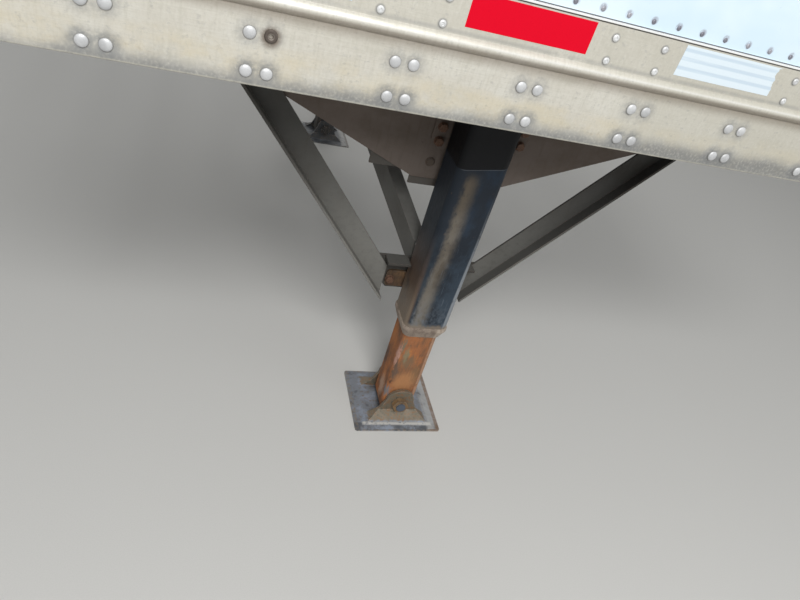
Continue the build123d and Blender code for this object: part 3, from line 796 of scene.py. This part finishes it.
def weldBead(start, end, radius):
    # a bead from start to end and its place, with a ripple every 4 mm for each pool of the weld
    start, end = Vector(start), Vector(end)
    run = end - start
    turn = run.to_track_quat("Z", "Y")
    ripple, steps = 4.0, 8
    count = max(4, int(run.length / ripple) * 2)
    points, faces = [], sideFaces(count + 1, steps)
    for ring in range(count + 1):
        along = run.length * ring / count
        fat = radius * (1.0 if ring % 2 else 0.82) * random.uniform(0.9, 1.08)
        fat *= 0.55 if ring in (0, count) else 1.0
        for step in range(steps):
            angle = 2 * math.pi * step / steps
            around = Vector((fat * math.cos(angle), fat * math.sin(angle), along))
            points.append(start + turn @ around)
    last = count * steps
    faces += [tuple(reversed(range(steps))), tuple(range(last, last + steps))]
    return (points, faces), asItIs


def standing(shape, spot, toward, spin=0.0):
    # a shape and its place: its foot at a spot, with its z along toward
    turn = Vector(toward).to_track_quat("Z", "Y").to_matrix().to_4x4()
    return shape, Matrix.Translation(Vector(spot)) @ turn @ Matrix.Rotation(spin, 4, "Z")


def merged(shapes):
    # one shape from many; shapes are (shape, place)
    points, faces = [], []
    for (shapePoints, shapeFaces), place in shapes:
        first = len(points)
        points += [place @ Vector(point) for point in shapePoints]
        faces += [tuple(first + corner for corner in face) for face in shapeFaces]
    return points, faces


def joined(name, finish, shapes, body="frame"):
    # many small shapes as one piece, with edges over 35 degrees kept sharp
    points, faces = merged(shapes)
    mesh = bpy.data.meshes.new(name)
    mesh.from_pydata([point * mm for point in points], [], faces)
    mesh.validate()
    mesh.shade_smooth()
    mesh.set_sharp_from_angle(angle=math.radians(35))
    mesh.materials.append(finish)
    piece = bpy.data.objects.new(name, mesh)
    bpy.context.scene.collection.objects.link(piece)
    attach(piece, body)


def dome(radius, height, rings=5):
    # a driven head: a short upright foot, then a low dome
    profile = [(radius * 0.97, 0.0), (radius, height * 0.18)]
    for ring in range(1, rings + 1):
        angle = math.pi / 2 * ring / (rings + 0.6)
        profile.append((radius * math.cos(angle), height * (0.18 + 0.82 * math.sin(angle))))
    return turned(profile, 20)


def blindRivet(radius, height):
    # a pulled rivet: a low dome with the stub of its pin sunk in the middle
    profile = [(0.97, 0.0), (1.0, 0.2), (0.86, 0.68), (0.62, 0.96), (0.42, 1.0), (0.34, 0.72)]
    profile += [(0.28, 0.7), (0.2, 0.78)]
    return turned([(radius * out, height * up) for out, up in profile], 20)


def hexBolt(across, head, washer=0.0, washerT=0.0, stub=0.0, thread=0.0):
    # hex head or nut on a washer of that radius, with the bolt's threaded end standing out of it
    shapes = []
    radius = across / math.sqrt(3)
    if washer:
        shapes.append(turned([(washer, 0), (washer, washerT * 0.8), (washer * 0.96, washerT)], 24))
    profile = [(radius, washerT), (radius, washerT + head * 0.86), (radius * 0.9, washerT + head)]
    shapes.append(turned(profile, 6))
    if stub:
        top = washerT + head
        rings = [(thread, top)]
        turns = max(2, int(stub / 1.5))
        for turn in range(turns):
            rings.append((thread * (0.9 if turn % 2 else 1.0), top + stub * (turn + 0.5) / turns))
        rings.append((thread * 0.8, top + stub))
        shapes.append(turned(rings, 16))
    return merged([(shape, asItIs) for shape in shapes])


def gridSpots(grid, indices):
    # x and z of each rivet of a grid
    places = [grid["start"] + grid["pitch"] * index for index in indices]
    halves = (-grid["half"], grid["half"])
    return [(place + half, row) for place in places for half in halves for row in grid["rows"]]


# Rail rivets: a pair of rows for every crossmember, and small pairs for every wall post
rivets = {
    "head": dome(10.3, 5.0),
    "small": blindRivet(6.6, 3.2),
    "lip": blindRivet(4.4, 2.2),
    "tail": dome(8.0, 4.0, 3),
    "tailSmall": dome(4.2, 3.0, 3),
    "lost": turned(
        [(10.2, 0), (10.2, 2.6), (8.6, 4.2), (6.2, 4.4), (4.0, 3.4), (3.4, 0.2)], 20, hollow=True
    ),
    "crossPlaces": range(-4, 6),
    "postPlaces": range(-2, 3),
    "lipsBefore": 19,  # how many lip rivets stand before the first place of their grid
    "endFree": 12.0,
    # how far behind the rail's face the wall sheet, the crossmembers' plates and the posts end
    "sheetBack": 5.0,
    "crossBack": 9.0,
    "postBack": 9.5,
}
sheetFace = boxOf("far_wall_panel")[1].y
railFace = sheetFace + rivets["sheetBack"]
railEnd = boxOf("far_side_rail")[1].x
for side, sign in sides.items():
    outward, inward = (0, sign, 0), (0, -sign, 0)
    heads, losts, tails, smalls, smallTails, lips = [], [], [], [], [], []
    for x, row in gridSpots(rivetGrid, rivets["crossPlaces"]):
        spot = Vector((x, sign * railFace, row))
        spin = random.uniform(0, math.pi)
        if (spot - lostRivetAt).length < 1:
            losts.append(standing(rivets["lost"], spot, outward, spin))
        else:
            heads.append(standing(rivets["head"], spot, outward, spin))
        spot.y = sign * (railFace - rivets["crossBack"])
        tails.append(standing(rivets["tail"], spot, inward, spin))
    for x, row in gridSpots(postGrid, rivets["postPlaces"]):
        spot = Vector((x, sign * railFace, row))
        smalls.append(standing(rivets["small"], spot, outward, random.uniform(0, 3)))
        spot.y = sign * (railFace - rivets["postBack"])
        smallTails.append(standing(rivets["tailSmall"], spot, inward))
    x = lipGrid["start"] - lipGrid["pitch"] * rivets["lipsBefore"]
    while x < railEnd - rivets["endFree"]:
        spot = (x + random.uniform(-1, 1), sign * sheetFace, *lipGrid["rows"])
        lips.append(standing(rivets["lip"], spot, outward))
        x += lipGrid["pitch"]
    joined(side + "RailRivets", crossRivet, heads)
    if losts:
        joined(side + "BrokenRivet", brokenRivet, losts)
    joined(side + "PostRivets", postRivet, smalls)
    joined(side + "LipRivets", lipRivet, lips)
    joined(side + "RivetTails", boltFinish, tails)
    joined(side + "PostRivetTails", postRivet, smallTails)
print("rivets placed")


# Safety tape: red and silver lengths in turn, one in each bay between the wall posts
tape = {
    "low": 51.9,
    "high": 104.2,
    "thick": 0.4,
    "red": ((-147.3, 77.0), (664.0, 889.0), (-960.0, -736.0)),
    "silver": ((262.3, 483.3), (-552.0, -331.0)),
    "ragged": 9.0,
    "tornSteps": 24,
    "tear": (-2.2, 2.4),
}


def tapeOutline(start, end, isTorn):
    # the silver lengths end in a torn edge, the red ones are cut square
    corners = [(start, tape["low"]), (end, tape["low"])]
    torn, steps = 0.0, tape["tornSteps"]
    for step in range(1, steps if isTorn else 1):
        level = tape["low"] + (tape["high"] - tape["low"]) * step / steps
        torn = min(max(torn + random.uniform(*tape["tear"]), 0.0), tape["ragged"])
        corners.append((end - torn, level))
    return corners + [(end, tape["high"]), (start, tape["high"])]


for side, sign in sides.items():
    for word, finish in (("red", redTape), ("silver", silverTape)):
        lengths = []
        for start, end in tape[word]:
            points, faces = slab(tapeOutline(start, end, word == "silver"), tape["thick"])
            upright = [(x, sign * (railFace + out), z) for x, z, out in points]
            faces = faces if sign < 0 else [tuple(reversed(face)) for face in faces]
            lengths.append(((upright, faces), asItIs))
        joined(side + word.capitalize() + "Tape", finish, lengths)
print("tape laid")


# Bolts that hold each leg: those through the flange, those that only hold the plate behind it,
# and those through the lug plate. Each is x from the leg's middle and level.
legBolts = {
    "flange": ((-82, -179), (-82, -216), (-82, -253), (-82, -290))
    + ((131, -195), (131, -232), (131, -269)),
    "plate": ((-84.5, -350), (84.5, -350)),
    "lug": ((-101, -712), (101, -712)),
    "head": hexBolt(across=20, head=8.5, washer=12.5, washerT=2.5),
    "lowHead": hexBolt(across=18, head=5, washer=12.5, washerT=1.5),
    "nut": hexBolt(across=20, head=11, washer=12.5, washerT=2.5, stub=9, thread=6.5),
    "plateT": 6.35,
    "lugT": 8.0,
}
plateFace = boxOf("far_wing_plate")[1].y
flangeFace = boxOf("far_leg_flange")[1].y
plateBack = plateFace - legBolts["plateT"]
backupBack = boxOf("far_backup_angle")[1].y - legBolts["plateT"]
for side, sign in sides.items():
    lugFace = max(abs(corner.y) for corner in boxOf(side + "_leg_lug"))
    lugBack = lugFace - legBolts["lugT"] - legBolts["plateT"]
    bolts, plain, nuts = [], [], []
    for word, shape, face, back, into in (
        ("flange", "head", flangeFace, plateBack, bolts),
        ("plate", "lowHead", plateFace, backupBack, plain),
        ("lug", "head", lugFace, lugBack, bolts),
    ):
        for offset, level in legBolts[word]:
            x, spin = legMiddle.x + offset, random.uniform(0, 1)
            into.append(standing(legBolts[shape], (x, sign * face, level), (0, sign, 0), spin))
            nuts.append(standing(legBolts["nut"], (x, sign * back, level), (0, -sign, 0), spin))
    joined(side + "LegBolts", boltRusted, bolts)
    joined(side + "PlateBolts", plateBoltPaint, plain)
    joined(side + "LegNuts", boltFinish, nuts)
print("leg bolts placed")


# Bolts up through the wing angles and the sleeves, the gearbox lid and the crank's hub
small = {
    "wingBoltOffset": 16.0,
    "wingBoltOut": 887.0,
    "wingBolts": range(-2, 4),
    "angleT": 6.35,
    "flangeT": 4.5,
    "sleeveOut": 858.0,
    "lidHalfWidth": 70.0,
    "lidHalfHeight": 72.0,
    "bossLength": 14.0,
    "nippleAt": (-40.0, 30.0),
    "hubMiddle": 13.0,
    "hubRadius": 20.0,
    "sunk": 0.6,  # how deep a washer sits where it lies on a round part
    "wingNut": hexBolt(across=18, head=9, washer=11.5, washerT=2, stub=8, thread=5.5),
    "wingHead": hexBolt(across=18, head=7, washer=11.5, washerT=2),
    "sleeveHead": hexBolt(across=13, head=5, washer=8, washerT=1.2),
    "sleeveNut": hexBolt(across=13, head=6, washer=8, washerT=1.2, stub=5, thread=4),
    "lidBolt": hexBolt(across=13, head=6, washer=9, washerT=1.6),
    "hubHead": hexBolt(across=13, head=5.5),
    "hubNut": hexBolt(across=13, head=6.5, stub=3, thread=4),
    "nipple": turned(
        [(5.2, 0), (5.2, 3), (2.6, 3.4), (2.6, 6.5), (3.2, 7.5), (2.4, 9.6), (1.2, 10.2)], 12
    ),
}
up, down = (0, 0, 1), (0, 0, -1)
crossFoot = boxOf("crossmembers")[0].z
sleeveLow, sleeveHigh = (corner.z for corner in boxOf("far_shaft_sleeve"))
for side, sign in sides.items():
    bolts = []
    for index in small["wingBolts"]:
        x = rivetGrid["pitch"] * index - small["wingBoltOffset"]
        y, spin = sign * small["wingBoltOut"], random.uniform(0, 1)
        bolts.append(standing(small["wingNut"], (x, y, crossFoot - small["angleT"]), down, spin))
        bolts.append(standing(small["wingHead"], (x, y, crossFoot + small["flangeT"]), up, spin))
    x, y = legMiddle.x, sign * small["sleeveOut"]
    bolts.append(standing(small["sleeveHead"], (x, y, sleeveHigh - small["sunk"]), up))
    bolts.append(standing(small["sleeveNut"], (x, y, sleeveLow + small["sunk"]), down))
    joined(side + "WingBolts", boltFinish, bolts)

gearbox = boxOf("gearbox")
lidFace = gearbox[1].y - small["bossLength"]
lidMiddle = (gearbox[0] + gearbox[1]) / 2
lidParts = []
for across, level in ((-1, -1), (-1, 0), (-1, 1), (0, -1), (0, 1), (1, -1), (1, 0), (1, 1)):
    x = lidMiddle.x + across * small["lidHalfWidth"]
    z = lidMiddle.z + level * small["lidHalfHeight"]
    spot, spin = (x, lidFace, z), random.uniform(0, 1)
    lidParts.append(standing(small["lidBolt"], spot, (0, 1, 0), spin))
nippleX, nippleZ = small["nippleAt"]
spot = (lidMiddle.x + nippleX, lidFace, lidMiddle.z + nippleZ)
lidParts.append(standing(small["nipple"], spot, (0, 1, 0)))
joined("gearboxLidBolts", boltFinish, lidParts)

hubOut = boxOf("crank_handle")[0].y + small["hubMiddle"]
crankLevel = sum(corner.z for corner in boxOf("crank_shaft")) / 2
hub = Vector((legMiddle.x, hubOut, crankLevel))
toSide = Vector((small["hubRadius"] - small["sunk"], 0, 0))
hubBolt = [
    standing(small["hubHead"], hub + toSide, (1, 0, 0)),
    standing(small["hubNut"], hub - toSide, (-1, 0, 0)),
]
joined("crankHubBolt", boltFinish, hubBolt, "crank")
print("small bolts placed")


# Weld beads: the tube to its flange, lug and collar, the braces to their plates, and the hangers
welds = {
    "tubeHalf": 54.5,
    "tubeOut": 2.6,
    "tubeRuns": ((-309, -115), (-733, -687)),
    "tubeBead": 4.2,
    # hand along x, slope in degrees and reach of each brace's inner edge at edgeLevel
    "braces": ((-1, 51.2, 462.4), (1, 49.4, 474.8)),
    "edgeLevel": -241.5,
    # how far below its inner edge a bead lies on a brace, and the levels between which it runs
    "braceRuns": ((0.0, -150, -112), (0.0, -236, -200), (63.5, -184, -130)),
    "braceOut": 0.8,
    "braceBead": 3.0,
    "footOffset": 118.0,
    "footLow": -727.0,
    "collarCorner": 22.0,
    "collarOut": 0.4,
    "collarBead": 2.3,
    "hangerRun": (1.0, 27.0),
    "hangerBead": 2.8,
    "gearboxRun": 38.0,
    "gearboxLevel": 78.0,
    "gearboxOut": 0.5,
}


def braceAt(hand, slope, reach, depth, level):
    # x of a brace's edge at a level, for an edge that lies so deep below the inner one
    angle = math.radians(slope)
    offset = reach + (level - welds["edgeLevel"]) / math.tan(angle) + depth / math.sin(angle)
    return legMiddle.x + hand * offset


def ringOf(half, corner, middle, level):
    # points round a square with rounded corners
    points = []
    for quarter in range(4):
        for step in range(4):
            angle = math.pi / 2 * (quarter + step / 3)
            cornerX = (half - corner) * (1 if quarter in (0, 3) else -1)
            cornerY = (half - corner) * (1 if quarter in (0, 1) else -1)
            x = middle.x + cornerX + corner * math.cos(angle)
            y = middle.y + cornerY + corner * math.sin(angle)
            points.append((x, y, level))
    return points


for side, sign in sides.items():
    beads = []
    for hand in (-1, 1):
        for low, high in welds["tubeRuns"]:
            x = legMiddle.x + hand * welds["tubeHalf"]
            y = sign * (flangeFace + welds["tubeOut"])
            beads.append(weldBead((x, y, low), (x, y, high), welds["tubeBead"]))
    y = sign * (plateFace + welds["braceOut"])
    for hand, slope, reach in welds["braces"]:
        for depth, *levels in welds["braceRuns"]:
            ends = [(braceAt(hand, slope, reach, depth, level), y, level) for level in levels]
            beads.append(weldBead(*ends, welds["braceBead"]))
        x = legMiddle.x + hand * welds["footOffset"]
        fall = (reach - welds["footOffset"]) * math.tan(math.radians(slope))
        top = welds["edgeLevel"] - fall - welds["braceBead"]
        beads.append(weldBead((x, y, welds["footLow"]), (x, y, top), welds["braceBead"]))
    half = (outerLeg[1].x - outerLeg[0].x) / 2 + welds["collarOut"]
    middle = Vector((legMiddle.x, sign * abs(legMiddle.y), 0))
    collarTop = boxOf(side + "_leg_collar")[1].z + welds["collarOut"]
    ring = ringOf(half, welds["collarCorner"], middle, collarTop)
    ends = zip(ring, ring[1:] + ring[:1])
    collarBeads = [weldBead(start, end, welds["collarBead"]) for start, end in ends]
    joined(side + "FrameWelds", weldFinish, beads)
    joined(side + "CollarWeld", collarRust, collarBeads)
beads = []
hanger, gusset = boxOf("crank_hanger"), boxOf("centre_gusset")
near, far = welds["hangerRun"]
for y in (hanger[0].y, hanger[1].y):
    for corner, offsets in ((hanger[0], (near, far)), (hanger[1], (-far, -near))):
        ends = [(corner.x + offset, y, hanger[1].z) for offset in offsets]
        beads.append(weldBead(*ends, welds["hangerBead"]))
for y in (gusset[0].y, gusset[1].y):
    ends = [(x - rivetGrid["pitch"], y, gusset[1].z) for x in (-far, far)]
    beads.append(weldBead(*ends, welds["hangerBead"]))
for hand in (-1, 1):
    level = lidMiddle.z + hand * welds["gearboxLevel"]
    run, y = welds["gearboxRun"], gearbox[0].y + welds["gearboxOut"]
    ends = [(legMiddle.x + x, y, level) for x in (-run, run)]
    beads.append(weldBead(*ends, welds["braceBead"]))
joined("hangerWelds", weldFinish, beads)
print("welds laid")


# The floor, the light and the photograph's camera, in metres
view = {
    "lens": 27.92,
    "place": (-0.5244, -2.2860, 0.2607),
    "right": (0.9462, -0.20341, 0.25167),
    "up": (-0.07108, 0.62809, 0.77489),
    "ahead": (0.31569, 0.75109, -0.57983),
}
cameraData = bpy.data.cameras.new("photoCamera")
cameraData.lens = view["lens"]
cameraData.sensor_width = 36.0
cameraData.clip_start = 0.05
camera = bpy.data.objects.new("photoCamera", cameraData)
axes = Matrix([view["right"], view["up"], [-part for part in view["ahead"]]]).transposed()
camera.matrix_world = Matrix.Translation(view["place"]) @ axes.to_4x4()
bpy.context.scene.collection.objects.link(camera)
bpy.context.scene.camera = camera

studio = {
    "floor": "#d8d7d3",
    "floorSpeck": "#d2d1cd",
    "floorHalf": 9.0,
    "patterns": {"grain": (3, 3, 3, 4, 0)},
    "sky": "#f4f6f8",
    "skyLevel": 0.24,
    "background": "#e9e9e6",
    # name, place, aimed at, size, watts
    "lamps": (
        ("keyPanel", (-0.6, -4.4, 2.6), (0.1, -1.2, -0.4), 2.0, 172.0),
        ("sidePanel", (3.6, -3.4, 1.0), (0.3, -1.0, -0.4), 2.6, 18.0),
        ("backPanel", (1.0, 4.6, 2.6), (0.1, 0.8, -0.4), 3.0, 40.0),
    ),
}
floorMesh = bpy.data.meshes.new("studioFloor")
half = studio["floorHalf"]
corners = [(-half, -half, 0), (half, -half, 0), (half, half, 0), (-half, half, 0)]
floorMesh.from_pydata(corners, [], [(0, 1, 2, 3)])
floor = bpy.data.objects.new("studioFloor", floorMesh)
floor.location.z = floorLevel
bpy.context.scene.collection.objects.link(floor)
matte = startFinish("matteStudioFloor", studio)
specks = [("floorSpeck", ("grain", 0.3, 0.9))]
floorMesh.materials.append(endFinish(matte, "floor", specks, {}, (0.85,), 0.1))

world = bpy.data.worlds.new("softSky")
bpy.context.scene.world = world
world.use_nodes = True
skyTree = world.node_tree
skyTree.nodes.clear()
# the sky lights the object at its own level, and is pale where a ray sees it
rays = put(skyTree, "LightPath").outputs
seen = rays["Is Camera Ray"]
for word in ("Is Glossy Ray", "Is Transmission Ray"):
    seen = put(skyTree, "Math", "MAXIMUM", {0: seen, 1: rays[word]})
skyLight = put(skyTree, "Background", {}, {0: colour(studio["sky"]), 1: studio["skyLevel"]})
skySeen = put(skyTree, "Background", {}, {0: colour(studio["background"]), 1: 1.0})
skyMix = put(skyTree, "MixShader", {}, {0: seen, 1: skyLight, 2: skySeen})
put(skyTree, "OutputWorld", {}, {0: skyMix})

for name, place, aim, size, watts in studio["lamps"]:
    lampData = bpy.data.lights.new(name, "AREA")
    lampData.size = size
    lampData.energy = watts
    lamp = bpy.data.objects.new(name, lampData)
    lamp.location = place
    lamp.rotation_euler = (Vector(aim) - Vector(place)).to_track_quat("-Z", "Y").to_euler()
    bpy.context.scene.collection.objects.link(lamp)
bpy.context.scene.view_settings.view_transform = "Standard"
print("studio set")
